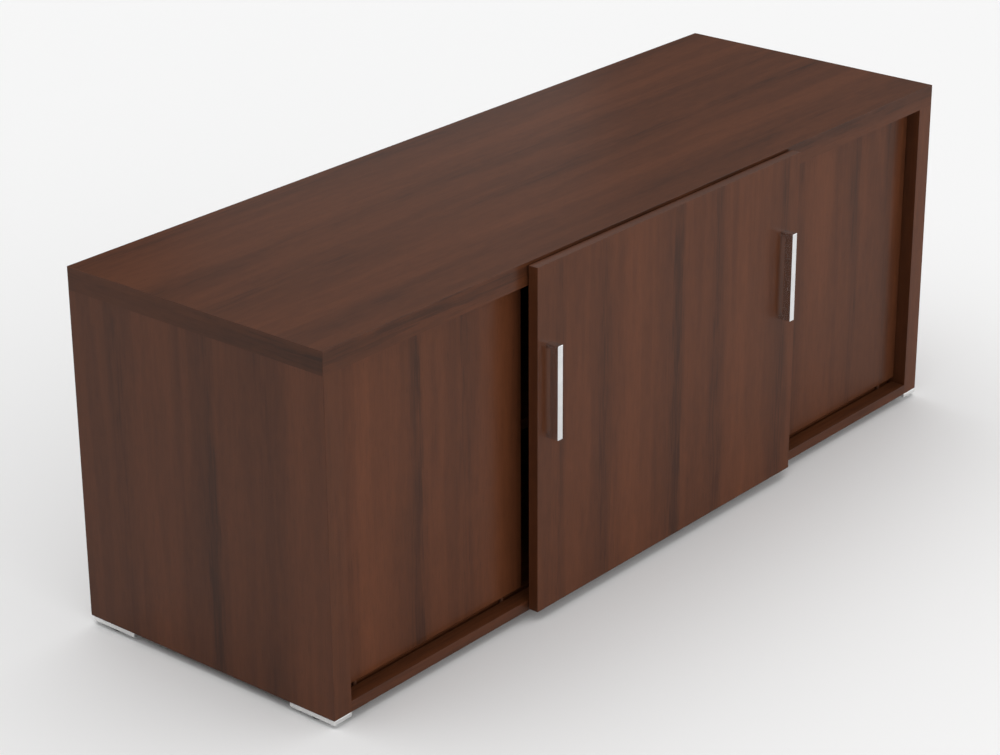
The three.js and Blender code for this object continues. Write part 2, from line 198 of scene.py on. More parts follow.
class Graph:
    """A node tree that is filled by one method, node()."""

    def __init__(self, tree: bpy.types.NodeTree) -> None:
        """Empties a node tree and takes it over."""
        self.tree = tree
        tree.nodes.clear()

    @classmethod
    def surface(cls, name: str) -> tuple["Graph", bpy.types.Material]:
        """A new material and its graph.

        Args:
            name: the material's name.

        Returns:
            The graph and the material.
        """
        material = bpy.data.materials.new(name)
        material.use_nodes = True
        return cls(material.node_tree), material

    def node(
        self,
        kind: str,
        settings: dict[str, object] | None = None,
        inputs: dict[str | int, object] | None = None,
        output: str | int = 0,
    ) -> Field:
        """Adds a node, sets it up and feeds its sockets.

        Args:
            kind: the node's type, without its ShaderNode prefix.
            settings: the node's own settings, set before its sockets.
            inputs: a value or a Field for each socket, by name or by number.
            output: the socket that the returned Field wraps.

        Returns:
            The chosen output.
        """
        made = self.tree.nodes.new("ShaderNode" + kind)
        for key, value in (settings or {}).items():
            setattr(made, key, value)
        for key, value in (inputs or {}).items():
            if isinstance(value, Field):
                self.tree.links.new(value.socket, made.inputs[key])
            else:
                made.inputs[key].default_value = value
        return Field(self, made.outputs[output]) if made.outputs else Field(self, None)

    def math(self, operation: str, first: Operand, second: Operand) -> Field:
        """One Math node on two values."""
        return self.node("Math", {"operation": operation}, {0: first, 1: second})

    def dot(self, place: Field, way: Sequence[float]) -> Field:
        """How far a point lies along a direction."""
        return self.node("VectorMath", {"operation": "DOT_PRODUCT"}, {0: place, 1: way}, "Value")

    def step(self, value: Field, low: float, high: float) -> Field:
        """A smooth rise from 0 to 1 while a value goes from low to high."""
        ends = {"Value": value, "From Min": low, "From Max": high}
        return self.node("MapRange", {"interpolation_type": "SMOOTHSTEP"}, ends)

    def mix(self, factor: Operand, first: object, second: object) -> Field:
        """A colour between two colours.

        Args:
            factor: 0 gives the first colour and 1 the second.
            first: a colour or a Field.
            second: a colour or a Field.

        Returns:
            The mixed colour.
        """
        return self.node("Mix", {"data_type": "RGBA"}, {0: factor, 6: first, 7: second}, output=2)

    def place(self) -> Field:
        """Where a point is in the piece's own metres."""
        return self.node("TexCoord", output="Object")

    def noise(
        self,
        place: Field,
        scale: Vector | float,
        detail: float = 2.0,
        roughness: float = 0.5,
    ) -> Field:
        """Cloudy noise, stretched along an axis where the scale is a vector.

        Args:
            place: the point that the noise is read at.
            scale: how many waves a metre holds, for all axes or for each.
            detail: how many finer layers are added.
            roughness: how strong the finer layers are.

        Returns:
            The noise.
        """
        waves = scale if isinstance(scale, Vector) else Vector((scale, scale, scale))
        at = self.node("VectorMath", {"operation": "MULTIPLY"}, {0: place, 1: waves})
        layers = {"Vector": at, "Scale": 1.0, "Detail": detail, "Roughness": roughness}
        return self.node("TexNoise", {}, layers)

    def bump(self, height: Field, depth: float) -> Field:
        """A normal that follows a height.

        Args:
            height: the height, from 0 to 1.
            depth: what a height of one stands for, in metres.

        Returns:
            The normal.
        """
        return self.node("Bump", {}, {"Height": height, "Distance": depth, "Strength": 1.0})

    def principled(self, **sockets: object) -> None:
        """Ends a material in one Principled shader.

        Args:
            sockets: the shader's sockets, with underscores for the spaces in their names.
        """
        named = {key.replace("_", " "): value for key, value in sockets.items()}
        shader = self.node("BsdfPrincipled", {}, named)
        self.node("OutputMaterial", {}, {"Surface": shader})


@dataclass(frozen=True)
class Streak:
    """One streak of the decor, in shares of the figure's repeat, darker or lighter than the ground."""

    place: float
    half_width: float
    tone: float

    def draw(self, graph: Graph, turns: Field) -> Field:
        """The tone of this streak, which comes once in every turn.

        Args:
            graph: the material's graph.
            turns: how many repeats a point lies from the main streak.

        Returns:
            The tone, 0 away from the streak.
        """
        turn = graph.math("FRACT", turns + (0.5 - self.place), 0.0)
        return self.profile(graph, turn - 0.5)

    def profile(self, graph: Graph, apart: Field) -> Field:
        """The tone of this streak at a number of repeats from its middle."""
        return graph.step(graph.math("ABSOLUTE", apart, 0.0), self.half_width, 0.0) * self.tone


@dataclass(frozen=True)
class WalnutDecor:
    """Satin walnut decor: ragged streaks along the grain over staves, strokes and mottled fibres.

    The main streak comes once, at main_at, and the others come again at every repeat.
    """

    grain: Axis
    main_at: float = 0.0
    repeat: float = 0.305
    contrast: float = 1.0
    main: Streak = Streak(0.0, 0.055, -0.52)
    others: tuple[Streak, ...] = (
        Streak(0.0, 0.07, -0.3),
        Streak(-0.06, 0.1, -0.3),
        Streak(-0.21, 0.03, -0.2),
        Streak(0.355, 0.13, -0.38),
        Streak(0.635, 0.2, 0.5),
    )
    dark: Colour = srgb(56, 32, 20)
    ground: Colour = srgb(79, 44, 26)
    light: Colour = srgb(92, 52, 31)
    pore: Colour = srgb(49, 28, 18)
    roughness: float = 0.84
    gloss: float = 0.295
    gloss_index: float = 1.6
    gloss_blur: float = 0.27
    relief_depth: float = 0.06 * MM

    def stretched(self, along: float, across: float) -> Vector:
        """Waves a metre, few along the grain and many across it."""
        return Vector([along if axis is self.grain else across for axis in Axis])

    def across(self) -> Vector:
        """The direction that the figure repeats in, on every face along the grain."""
        ways = {Axis.X: (0.0, 1.0, 1.0), Axis.Y: (1.0, 0.0, 1.0), Axis.Z: (1.0, -1.0, 0.0)}
        return Vector(ways[self.grain])

    def material(self) -> bpy.types.Material:
        """The decor with its grain along this finish's axis.

        Returns:
            The material.
        """
        graph, material = Graph.surface("walnut_decor")
        place = graph.place()
        wander = graph.noise(place, self.stretched(1.1, 9.0))
        level = graph.noise(place, self.stretched(3.2, 14.0))
        mottle = graph.noise(place, self.stretched(30.0, 90.0), detail=3.0)
        shred = graph.noise(place, self.stretched(9.0, 120.0), detail=4.0, roughness=0.6)
        stroke = graph.noise(place, self.stretched(10.0, 210.0), detail=2.0)
        stave = graph.noise(place, self.stretched(2.0, 30.0), detail=1.0)
        fibre = graph.noise(place, self.stretched(22.0, 900.0))
        pore = graph.noise(place, self.stretched(45.0, 1500.0), detail=0.0)
        smudge = graph.noise(place, 9.0, detail=3.0)

        ragged = (wander - 0.5) * 0.016 + (shred - 0.5) * 0.03
        turns = (graph.dot(place, self.across()) - self.main_at + ragged) * (1.0 / self.repeat)
        figure = self.main.profile(graph, turns)
        for streak in self.others:
            figure = figure + streak.draw(graph, turns)
        broken = 0.45 + graph.step(level, 0.33, 0.63) * 0.6
        strokes = graph.step(stroke, 0.5, 0.6) * graph.step(figure, -0.1, -0.5)
        staves = graph.step(stave, 0.44, 0.56) - 0.5
        swing = (figure * 0.8 - strokes * 0.45) * broken * self.contrast
        tone = swing + staves * 0.24 + (mottle - 0.5) * 0.55 + (shred - 0.5) * 0.6
        shade = graph.mix(graph.step(tone, 0.2, -1.1), self.ground, self.dark)
        toned = graph.mix(graph.step(tone, -0.2, 0.9), shade, self.light)
        fibred = graph.mix(graph.step(fibre, 0.45, 0.8) * 0.2, toned, self.pore)
        pores = graph.step(pore, 0.66, 0.74)
        relief = fibre * 0.6 - pores * 0.5
        graph.principled(
            Base_Color=graph.mix(pores * 0.3, fibred, self.pore),
            Roughness=self.roughness + (smudge - 0.5) * 0.14 - tone * 0.05,
            Specular_IOR_Level=0.0,
            Coat_Weight=self.gloss,
            Coat_IOR=self.gloss_index,
            Coat_Roughness=self.gloss_blur,
            Normal=graph.bump(relief, self.relief_depth),
        )
        return material


@dataclass(frozen=True)
class DrawnMetal:
    """Bare or plated metal with fine lines along the way that it was drawn or polished."""

    name: str
    colour: Colour
    shine: float
    lines: Axis
    line_depth: float = 0.01 * MM
    blotch: float = 0.1
    dulled: float = 0.86

    def material(self) -> bpy.types.Material:
        """The metal.

        Returns:
            The material.
        """
        graph, material = Graph.surface(self.name)
        place = graph.place()
        waves = Vector([40.0 if axis is self.lines else 2600.0 for axis in Axis])
        brushed = graph.noise(place, waves, detail=2.0)
        cloud = graph.noise(place, 60.0, detail=3.0)
        dull = tuple(level * self.dulled for level in self.colour[:3]) + (1.0,)
        graph.principled(
            Base_Color=graph.mix(graph.step(cloud, 0.3, 0.75) * 0.6, self.colour, dull),
            Metallic=1.0,
            Roughness=self.shine + (brushed - 0.5) * 0.08 + (cloud - 0.5) * self.blotch,
            Normal=graph.bump(brushed, self.line_depth),
        )
        return material


@dataclass(frozen=True)
class MouldedPlastic:
    """Moulded plastic with a fine spark-eroded skin."""

    name: str
    colour: Colour
    worn: Colour
    roughness: float
    skin_depth: float = 0.03 * MM

    def material(self) -> bpy.types.Material:
        """The plastic.

        Returns:
            The material.
        """
        graph, material = Graph.surface(self.name)
        place = graph.place()
        skin = graph.noise(place, 2200.0, detail=2.0)
        rub = graph.noise(place, 140.0, detail=3.0)
        graph.principled(
            Base_Color=graph.mix(graph.step(rub, 0.45, 0.8) * 0.6, self.colour, self.worn),
            Roughness=self.roughness + (skin - 0.5) * 0.14 + (rub - 0.5) * 0.1,
            Specular_IOR_Level=0.2,
            Normal=graph.bump(skin, self.skin_depth),
        )
        return material


class Finishes:
    """Every finish of the credenza, each made once."""

    def __init__(self) -> None:
        """Makes the materials."""
        self._walnut: dict[WalnutDecor, bpy.types.Material] = {}
        self.handle = DrawnMetal("polished_handle", srgb(230, 230, 230), 0.14, Axis.Z).material()
        # The handle's sides: a rougher finish, and a darker colour that is painted shade
        self.handle_shaded_side = DrawnMetal("shaded_plain_handle", srgb(212, 212, 213), 0.24, Axis.Z).material()
        self.foot = DrawnMetal("satin_foot", srgb(231, 231, 230), 0.3, Axis.Y).material()
        self.track = DrawnMetal("anodised_track", srgb(190, 190, 188), 0.4, Axis.X).material()
        self.fitting = DrawnMetal("zinc_fitting", srgb(168, 170, 173), 0.36, Axis.X).material()
        self.screw = DrawnMetal("zinc_screw", srgb(178, 179, 181), 0.3, Axis.Z).material()
        self.nylon = MouldedPlastic(
            "nylon_wheel", srgb(214, 211, 203), srgb(188, 184, 174), 0.5
        ).material()
        self.glide = MouldedPlastic(
            "black_glide", srgb(27, 27, 28), srgb(44, 43, 42), 0.55
        ).material()
        self.guide = MouldedPlastic(
            "brown_guide", srgb(76, 44, 27), srgb(88, 52, 34), 0.75
        ).material()

    def walnut(self, decor: WalnutDecor) -> bpy.types.Material:
        """The walnut decor cut in one way, made when it is first asked for."""
        if decor not in self._walnut:
            self._walnut[decor] = decor.material()
        return self._walnut[decor]


@dataclass(frozen=True)
class Ring:
    """One ring of a turned piece: its radius, its place along the axis and its outline."""

    radius: float
    along: float
    outline: Outline = Outline.ROUND


class Shaper:
    """Builds one piece in a bmesh, out of prisms, bars and turned solids."""

    def __init__(self) -> None:
        """Starts with an empty mesh."""
        self.bm = bmesh.new()

    def prism(
        self,
        outline: Sequence[tuple[float, float]],
        left: float,
        right: float,
        material: int = 0,
    ) -> None:
        """Draws a section out along the width.

        Args:
            outline: the section's corners, as depth and height.
            left: where the prism starts.
            right: where it ends.
            material: the material's number.
        """
        near = [self.bm.verts.new((left, depth, height)) for depth, height in outline]
        far = [self.bm.verts.new((right, depth, height)) for depth, height in outline]
        count = len(outline)
        faces = [self.bm.faces.new(near), self.bm.faces.new(far[::-1])]
        for i in range(count):
            j = (i + 1) % count
            faces.append(self.bm.faces.new((near[i], far[i], far[j], near[j])))
        for face in faces:
            face.material_index = material
        bmesh.ops.recalc_face_normals(self.bm, faces=faces)

    def bar(self, low: Vector, high: Vector, material: int = 0) -> None:
        """A straight bar between two corners.

        Args:
            low: the lowest corner.
            high: the highest corner.
            material: the material's number.
        """
        section = [(low.y, low.z), (high.y, low.z), (high.y, high.z), (low.y, high.z)]
        self.prism(section, low.x, high.x, material)

    def turned(
        self,
        rings: Sequence[Ring],
        at: Vector,
        out: Face,
        sides: int,
        material: int = 0,
        closed: bool = False,
    ) -> None:
        """A solid turned round an axis.

        Args:
            rings: the rings from end to end, on the axis at both ends unless closed.
            at: where the axis starts.
            out: the way that the axis points.
            sides: how many sides a ring has.
            material: the material's number.
            closed: whether the last ring joins the first, as on a wheel with a bore.
        """
        turn = out.direction().to_track_quat("Z", "Y").to_matrix().to_4x4()
        frame = Matrix.Translation(at) @ turn
        rows = [self._row(ring, frame, sides) for ring in rings]
        pairs = list(zip(rows, rows[1:]))
        if closed:
            pairs.append((rows[-1], rows[0]))
        faces = []
        for lower, upper in pairs:
            for i in range(sides):
                j = (i + 1) % sides
                loop = [lower[i % len(lower)], lower[j % len(lower)]]
                loop += [upper[j % len(upper)], upper[i % len(upper)]]
                faces.append(self.bm.faces.new(list(dict.fromkeys(loop))))
        for face in faces:
            face.material_index = material
        bmesh.ops.recalc_face_normals(self.bm, faces=faces)

    def _row(self, ring: Ring, frame: Matrix, sides: int) -> list[bmesh.types.BMVert]:
        """The corners of one ring, or its single point on the axis.

        Args:
            ring: the ring.
            frame: the turned piece's own frame.
            sides: how many corners the ring has.

        Returns:
            The corners in order.
        """
        if ring.radius == 0.0:
            return [self.bm.verts.new(frame @ Vector((0.0, 0.0, ring.along)))]
        row = []
        for i in range(sides):
            angle = math.tau * i / sides
            reach = ring.radius * ring.outline.reach(angle)
            spot = Vector((reach * math.cos(angle), reach * math.sin(angle), ring.along))
            row.append(self.bm.verts.new(frame @ spot))
        return row

    def screw_head(self, at: Vector, out: Face, radius: float) -> None:
        """A pan head with a cross recess, seated on a face.

        Args:
            at: the middle of the seat.
            out: the way out of the seat.
            radius: the head's radius.
        """
        rise = radius * 0.58
        recess = radius * 0.56
        rings = [
            Ring(0.0, -0.2 * rise),
            Ring(radius * 0.94, -0.2 * rise),
            Ring(radius, 0.12 * rise),
            Ring(radius * 0.985, 0.45 * rise),
            Ring(radius * 0.9, 0.78 * rise),
            Ring(radius * 0.74, rise),
            Ring(recess, rise, Outline.CROSS),
            Ring(recess * 0.7, 0.3 * rise, Outline.CROSS),
            Ring(0.0, 0.22 * rise),
        ]
        self.turned(rings, at, out, SCREW_SIDES)

    def arris(
        self,
        width: float,
        segments: int,
        chosen: Callable[[bmesh.types.BMEdge], bool],
    ) -> None:
        """Eases the chosen edges.

        Args:
            width: how wide the eased strip is.
            segments: how many facets round it.
            chosen: says whether an edge is eased.
        """
        edges = [edge for edge in self.bm.edges if chosen(edge)]
        bmesh.ops.bevel(
            self.bm,
            geom=edges,
            offset=width,
            segments=segments,
            profile=0.5,
            affect="EDGES",
            clamp_overlap=True,
        )

    def repaint(self, axis: Axis, material: int) -> None:
        """Gives the flat faces across an axis another material.

        Args:
            axis: the axis that the faces look along.
            material: the material's number.
        """
        self.bm.normal_update()
        for face in self.bm.faces:
            if abs(face.normal[axis.value]) > 0.99:
                face.material_index = material

    def piece(
        self,
        name: str,
        materials: Sequence[bpy.types.Material],
        body: str,
        replaces: Iterable[str] = (),
    ) -> bpy.types.Object:
        """Turns the mesh into a named piece that rides on a body.

        Args:
            name: the piece's name.
            materials: its materials, in the order of the faces' numbers.
            body: the body that carries it.
            replaces: the frame's nodes that it stands for.

        Returns:
            The piece.
        """
        mesh = bpy.data.meshes.new(name)
        self.bm.to_mesh(mesh)
        self.bm.free()
        mesh.polygons.foreach_set("use_smooth", [True] * len(mesh.polygons))
        mesh.set_sharp_from_angle(angle=CREASE_FROM)
        for material in materials:
            mesh.materials.append(material)
        made = bpy.data.objects.new(name, mesh)
        bpy.context.scene.collection.objects.link(made)
        normals = made.modifiers.new("even_normals", "WEIGHTED_NORMAL")
        normals.keep_sharp = True
        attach(made, body)
        for node in replaces:
            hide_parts(node)
        LOG.info("%s rides on %s", name, body)
        return made


def sharp(edge: bmesh.types.BMEdge) -> bool:
    """Whether two faces meet at this edge at an angle."""
    return len(edge.link_faces) == 2 and edge.calc_face_angle(0.0) > CORNER_FROM


def middle_of(node: str) -> Vector:
    """The middle of a node's box."""
    low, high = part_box(node)
    return (low + high) / 2


@dataclass
class Assembly:
    """A sub-assembly of the credenza, which is dressed in the shared finishes."""

    finishes: Finishes

    def screws(
        self,
        name: str,
        body: str,
        seats: Iterable[Vector],
        out: Face,
        radius: float,
        replaces: Iterable[str] = (),
    ) -> None:
        """One piece of screw heads that all stand out the same way.

        Args:
            name: the piece's name.
            body: the body that carries it.
            seats: the middle of each head's seat.
            out: the way out of the seats.
            radius: the heads' radius.
            replaces: the frame's nodes that it stands for.
        """
        shaper = Shaper()
        for seat in seats:
            shaper.screw_head(seat, out, radius)
        shaper.piece(name, [self.finishes.screw], body, replaces)


@dataclass(frozen=True)
class Groove:
    """A groove along a board's length, in its upper or its under face."""

    face: Face
    near: float
    far: float
    depth: float


@dataclass
class Board(Assembly):
    """A decor board: a core with its broad faces, and edging strips on the edges that show.

    Round its flush face, where another board carries on its sides, its edges stay square.
    """

    node: str
    body: str
    decor: WalnutDecor
    banded: tuple[Face, ...] = ()
    grooves: tuple[Groove, ...] = ()
    marked: dict[Face, WalnutDecor] = field(default_factory=dict)
    flush: Face | None = None
    band: float = 1.0 * MM
    arris: float = 0.5 * MM
    joint: float = 0.12 * MM

    def build(self) -> None:
        """Makes the core and its edging."""
        low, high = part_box(self.node)
        self._core(*self._inset(low, high, self.banded))
        if self.banded:
            self._edging(low, high)

    def _inset(
        self, low: Vector, high: Vector, faces: Iterable[Face]
    ) -> tuple[Vector, Vector]:
        """A box less the edging's thickness on some faces.

        Args:
            low: the box's lowest corner.
            high: its highest corner.
            faces: the faces that the edging takes.

        Returns:
            The smaller box.
        """
        low, high = low.copy(), high.copy()
        for face in faces:
            corner = low if face.sign < 0 else high
            corner[face.axis.value] -= face.sign * self.band
        return low, high

    def _core(self, low: Vector, high: Vector) -> None:
        """The board itself, with its grooves.

        Args:
            low: the core's lowest corner.
            high: its highest corner.
        """
        outline = [(low.y, low.z)]
        for groove in self.grooves:
            if groove.face is Face.UNDER:
                roof = low.z + groove.depth
                outline += [(groove.near, low.z), (groove.near, roof)]
                outline += [(groove.far, roof), (groove.far, low.z)]
        outline += [(high.y, low.z), (high.y, high.z)]
        for groove in self.grooves:
            if groove.face is Face.OVER:
                floor = high.z - groove.depth
                outline += [(groove.far, high.z), (groove.far, floor)]
                outline += [(groove.near, floor), (groove.near, high.z)]
        outline.append((low.y, high.z))

        def eased(edge: bmesh.types.BMEdge) -> bool:
            """Whether an edge of the core is taken off."""
            return sharp(edge) and not self._at_joint(edge, low, high)

        shaper = Shaper()
        shaper.prism(outline, low.x, high.x)
        shaper.arris(self.joint, 1, eased)
        shaper.piece(
            self.node + "_core",
            [self.finishes.walnut(self.decor)],
            self.body,
            [self.node],
        )

    def _edging(self, low: Vector, high: Vector) -> None:
        """The strips, the first named running through at the corners.

        Args:
            low: the board's lowest corner.
            high: its highest corner.
        """
        shaper = Shaper()
        done: list[Face] = []
        materials = []
        for face in self.banded:
            start, end = self._inset(low, high, done)
            index = face.axis.value
            if face.sign < 0:
                end[index] = start[index] + self.band
            else:
                start[index] = end[index] - self.band
            size = end - start
            length = max(Axis, key=lambda axis: size[axis.value])
            decor = self.marked.get(face, WalnutDecor(length, self.decor.main_at))
            shaper.bar(start, end, len(materials))
            materials.append(self.finishes.walnut(decor))
            done.append(face)

        def outermost(edge: bmesh.types.BMEdge) -> bool:
            """Whether an edge lies on two outer faces of the whole board.

            Args:
                edge: an edge of a strip.

            Returns:
                True if it does, and is not at a joint.
            """
            planes = 0
            for i in range(3):
                for limit in (low[i], high[i]):
                    planes += all(abs(v.co[i] - limit) < TOUCHING for v in edge.verts)
            return planes >= 2 and not self._at_joint(edge, low, high)

        shaper.arris(self.arris, 3, outermost)
        shaper.piece(self.node + "_edging", materials, self.body)

    def _at_joint(self, edge: bmesh.types.BMEdge, low: Vector, high: Vector) -> bool:
        """Whether an edge lies in the board's flush face.

        Args:
            edge: the edge.
            low: the board's lowest corner.
            high: its highest corner.

        Returns:
            True if it does.
        """
        if self.flush is None:
            return False
        index = self.flush.axis.value
        limit = (low if self.flush.sign < 0 else high)[index]
        return all(abs(v.co[index] - limit) < TOUCHING for v in edge.verts)


@dataclass
class Carcass(Assembly):
    """The boards that make the cabinet, and the screws that hold its back."""

    body: str = "carcass"
    groove_width: float = 7.0 * MM
    groove_depth: float = 7.0 * MM
    track_fit: float = 0.25 * MM
    back_screw_radius: float = 3.6 * MM
    back_screw_count: int = 4
    top: WalnutDecor = WalnutDecor(
        Axis.X,
        0.6035,
        repeat=0.276,
        contrast=0.68,
        main=Streak(0.0, 0.06, -0.3),
        gloss=0.115,
        gloss_index=2.6,
    )
    top_front: WalnutDecor = WalnutDecor(Axis.X, 0.3575)
    top_end: WalnutDecor = WalnutDecor(
        Axis.Y,
        -0.212,
        contrast=0.6,
        dark=srgb(46, 27, 17),
        ground=srgb(73, 41, 24),
        light=srgb(84, 48, 29),
    )
    # Painted light: the bottom panel's decor is lighter than the other boards, to brighten the shaded
    # recess floor
    bottom: WalnutDecor = WalnutDecor(
        Axis.X, dark=srgb(66, 38, 24), ground=srgb(90, 51, 30), light=srgb(104, 59, 35)
    )
    bottom_front: WalnutDecor = WalnutDecor(Axis.X, -0.0218)
    left: WalnutDecor = WalnutDecor(Axis.Z, -0.7925, gloss=0.33)
    left_front: WalnutDecor = WalnutDecor(
        Axis.Z, -0.6615, contrast=0.4, ground=srgb(75, 42, 25), light=srgb(86, 49, 29)
    )
    right: WalnutDecor = WalnutDecor(Axis.Z, 0.86, gloss=0.33)
    right_front: WalnutDecor = WalnutDecor(Axis.Z, 0.86)

    def build(self) -> None:
        """Makes the boards and the screws."""
        ends = (Face.FRONT, Face.BACK)
        self._board(
            "top_panel",
            self.top,
            ends + (Face.LEFT, Face.RIGHT),
            grooves=(self._track_groove(),),
            marked={Face.FRONT: self.top_front, Face.LEFT: self.top_end},
            flush=Face.UNDER,
        )
        self._board(
            "bottom_panel",
            self.bottom,
            ends,
            grooves=self._guide_grooves(),
            marked={Face.FRONT: self.bottom_front},
        )
        self._board("back_panel", WalnutDecor(Axis.Z))
        sides = (("left", self.left, self.left_front), ("right", self.right, self.right_front))
        for side, upright, front in sides:
            self._board(
                side + "_side_panel",
                upright,
                ends + (Face.UNDER,),
                marked={Face.FRONT: front},
                flush=Face.OVER,
            )
            self._board(side + "_partition", upright, (Face.FRONT,))
        for bay in ("left", "centre", "right"):
            self._board(bay + "_shelf", WalnutDecor(Axis.X), (Face.FRONT,))
        self._back_screws()

    def _board(
        self, node: str, decor: WalnutDecor, banded: tuple[Face, ...] = (), **cut: object
    ) -> None:
        """One board of the carcass.

        Args:
            node: the board's node.
            decor: its decor.
            banded: the edges that have edging.
            cut: its grooves, marked edges and flush face, as Board takes them.
        """
        Board(self.finishes, node, self.body, decor, banded, **cut).build()

    def _track_groove(self) -> Groove:
        """The groove in the top panel that the track is let into."""
        low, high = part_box("top_track")
        fit = self.track_fit
        return Groove(Face.UNDER, low.y - fit, high.y + fit, high.z - low.z + fit)

    def _guide_grooves(self) -> tuple[Groove, Groove]:
        """The grooves in the bottom panel that the lower guides and the pegs run in.

        Returns:
            The groove in the under face and the groove in the upper face.
        """
        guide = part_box("centre_door_left_guide")[1].y - LowerGuide.peg_inset
        peg = middle_of("left_inner_door_outer_peg").y
        half = self.groove_width / 2
        return (
            Groove(Face.UNDER, guide - half, guide + half, self.groove_depth),
            Groove(Face.OVER, peg - half, peg + half, self.groove_depth),
        )

    def _back_screws(self) -> None:
        """Screws through the back panel into the partitions' rear edges."""
        low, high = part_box("back_panel")
        seats = []
        for side in ("left", "right"):
            x = middle_of(side + "_partition").x
            for i in range(self.back_screw_count):
                z = low.z + (high.z - low.z) * (i + 0.5) / self.back_screw_count
                seats.append(Vector((x, high.y, z)))
        self.screws("back_panel_screws", self.body, seats, Face.BACK, self.back_screw_radius)


@dataclass
class ShelfPins(Assembly):
    """Turned pins that carry the shelves, each with a thin collar against its wall."""

    body: str = "carcass"
    entry: float = 7.75 * MM
    collar_radius: float = 4.2 * MM
    collar: float = 0.4 * MM
    collar_bed: float = 0.1 * MM
    tip: float = 0.8 * MM
    sides: int = 32

    def build(self) -> None:
        """Makes the twelve pins."""
        for bay in ("left", "centre", "right"):
            for row in ("front", "rear"):
                for face in (Face.RIGHT, Face.LEFT):
                    wall = "left" if face is Face.RIGHT else "right"
                    self._pin(f"{bay}_shelf_pin_{row}_{wall}", face)

    def _pin(self, node: str, reach: Face) -> None:
        """One pin.

        Args:
            node: the pin's node.
            reach: the way that it stands out of the wall.
        """
        low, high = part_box(node)
        middle = middle_of(node)
        radius = (high.z - low.z) / 2
        length = high.x - low.x
        foot = Vector((low.x if reach is Face.RIGHT else high.x, middle.y, middle.z))
        rings = [
            Ring(0.0, 0.0),
            Ring(radius, 0.0),
            Ring(radius, self.entry - self.collar_bed),
            Ring(self.collar_radius, self.entry - self.collar_bed),
            Ring(self.collar_radius, self.entry + self.collar),
            Ring(radius, self.entry + self.collar),
            Ring(radius, length - self.tip),
            Ring(radius * 0.9, length - self.tip * 0.4),
            Ring(radius * 0.66, length),
            Ring(0.0, length),
        ]
        shaper = Shaper()
        shaper.turned(rings, foot, reach, self.sides)
        shaper.piece(node + "_turned", [self.finishes.fitting], self.body, [node])


@dataclass
class Feet(Assembly):
    """Four metal plates under the sides, each with two screws and a round glide."""

    body: str = "carcass"
    arris: float = 0.7 * MM
    screw_radius: float = 3.8 * MM
    screw_offset: float = 33.0 * MM
    fillet: float = 1.5 * MM
    ridge: float = 0.5 * MM
    ridge_at: float = 0.55
    dish: float = 0.6 * MM
    fillet_steps: int = 6
    sides: int = 64

    def build(self) -> None:
        """Makes the four feet."""
        for row in ("front", "rear"):
            for side in ("left", "right"):
                self._plate(f"{row}_{side}")
                self._glide(f"{row}_{side}_glide")

    def _plate(self, name: str) -> None:
        """A plate with eased edges, and its two screws.

        Args:
            name: which foot it is.
        """
        node = name + "_foot_plate"
        low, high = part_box(node)
        shaper = Shaper()
        shaper.bar(low, high)
        shaper.arris(self.arris, 3, sharp)
        shaper.piece(node + "_milled", [self.finishes.foot], self.body, [node])
        middle = middle_of(node)
        offsets = (-self.screw_offset, self.screw_offset)
        seats = [Vector((middle.x, middle.y + offset, low.z)) for offset in offsets]
        self.screws(name + "_foot_screws", self.body, seats, Face.UNDER, self.screw_radius)

    def _glide(self, node: str) -> None:
        """A moulded glide with a rounded rim and a dished underside.

        Args:
            node: the glide's node.
        """
        low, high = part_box(node)
        middle = middle_of(node)
        radius = (high.x - low.x) / 2
        height = high.z - low.z
        rings = [Ring(0.0, self.dish), Ring(radius * 0.35, self.dish), Ring(radius * 0.45, 0.0)]
        for i in range(self.fillet_steps + 1):
            angle = math.pi / 2 * i / self.fillet_steps
            inset = self.fillet * (1.0 - math.sin(angle))
            rings.append(Ring(radius - inset, self.fillet * (1.0 - math.cos(angle))))
        waist = height * self.ridge_at
        rings += [
            Ring(radius, waist - self.ridge),
            Ring(radius - self.ridge, waist),
            Ring(radius, waist + self.ridge),
            Ring(radius, height),
            Ring(0.0, height),
        ]
        shaper = Shaper()
        shaper.turned(rings, Vector((middle.x, middle.y, low.z)), Face.OVER, self.sides)
        shaper.piece(node + "_moulded", [self.finishes.glide], self.body, [node])


